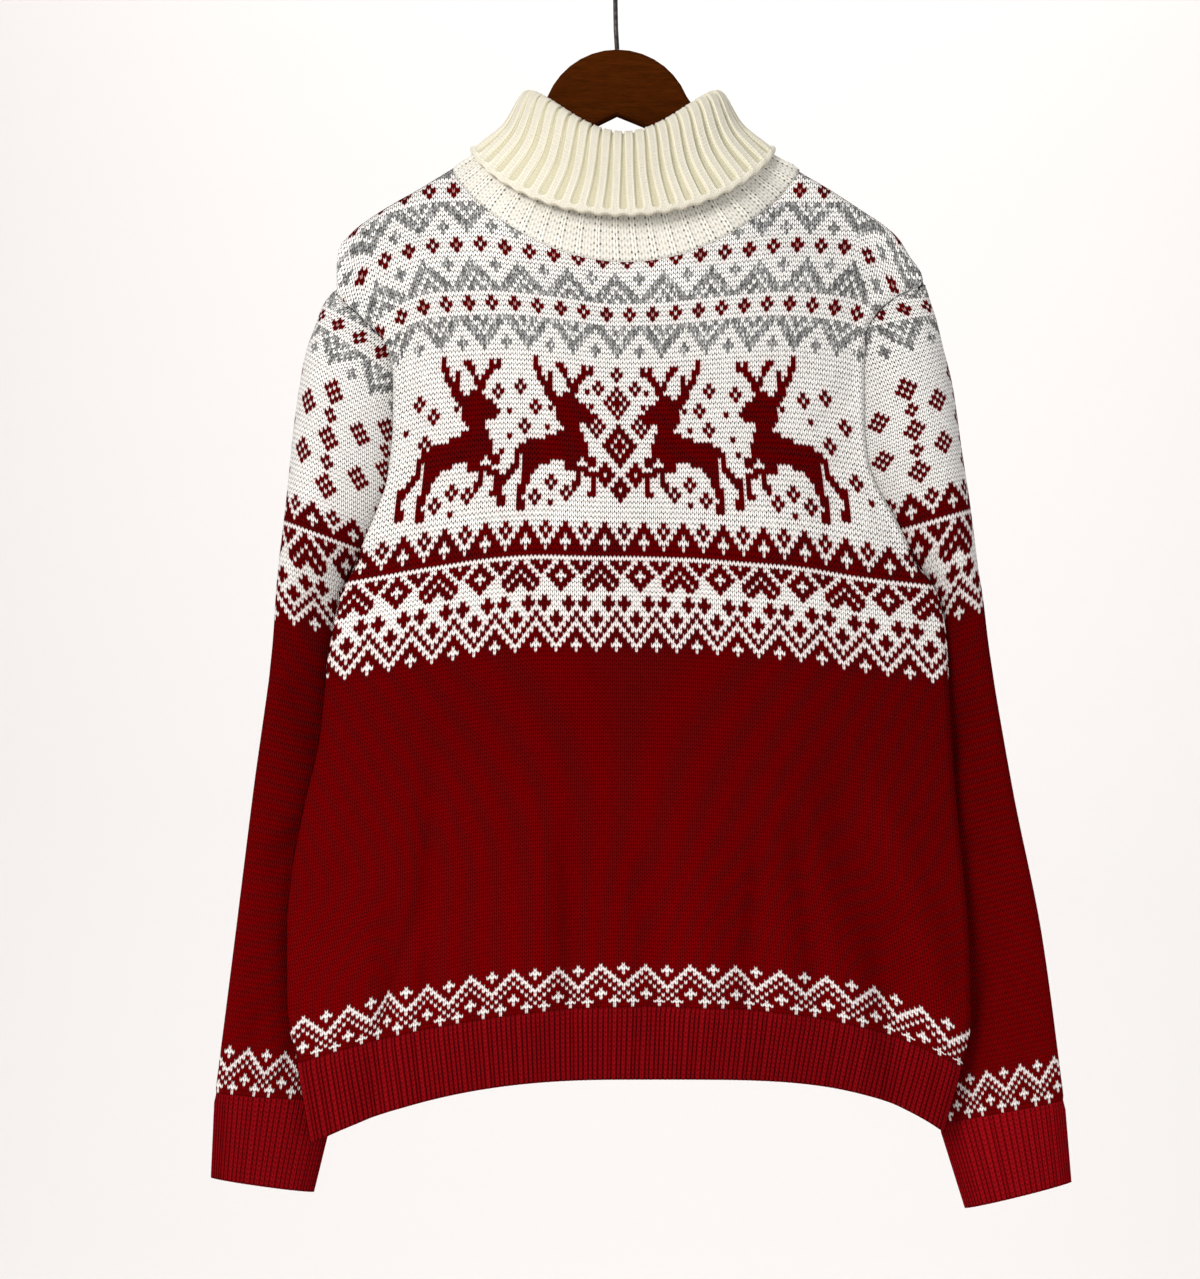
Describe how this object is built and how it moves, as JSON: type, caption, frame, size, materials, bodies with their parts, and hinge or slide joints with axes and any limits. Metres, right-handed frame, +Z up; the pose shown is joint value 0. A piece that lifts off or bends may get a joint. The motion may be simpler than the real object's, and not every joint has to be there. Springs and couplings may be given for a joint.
{
  "type": "christmas sweater on a wooden hanger",
  "caption": "Long-sleeved knitted roll-neck sweater with a winter colour-work yoke, hanging empty and fairly flat on a wooden hanger with a wire hook.",
  "frame": {"origin": "inside top of the hanger's hook, where a rail carries it", "axes": "+Z up, -Y out of the front of the sweater, +X towards the wearer's left"},
  "size_m": [0.5878, 0.1219, 0.8738],
  "materials": {
    "patterned_wool": "soft knitted wool, matt, white yoke with red and grey motifs over a deep red body",
    "red_wool": "soft ribbed wool, matt deep red",
    "cream_wool": "soft ribbed wool, matt cream",
    "stained_wood": "dark red-brown stain under satin lacquer",
    "black_metal": "satin black wire"
  },
  "bodies": {
    "root": {"front": "patterned_wool", "back": "patterned_wool", "sleeve_right": "patterned_wool", "sleeve_left": "patterned_wool", "hem_front": "red_wool", "hem_back": "red_wool", "cuff_right": "red_wool", "cuff_left": "red_wool", "collar": "cream_wool", "hanger": "stained_wood", "hook": "black_metal"}
  },
  "joints": []
}
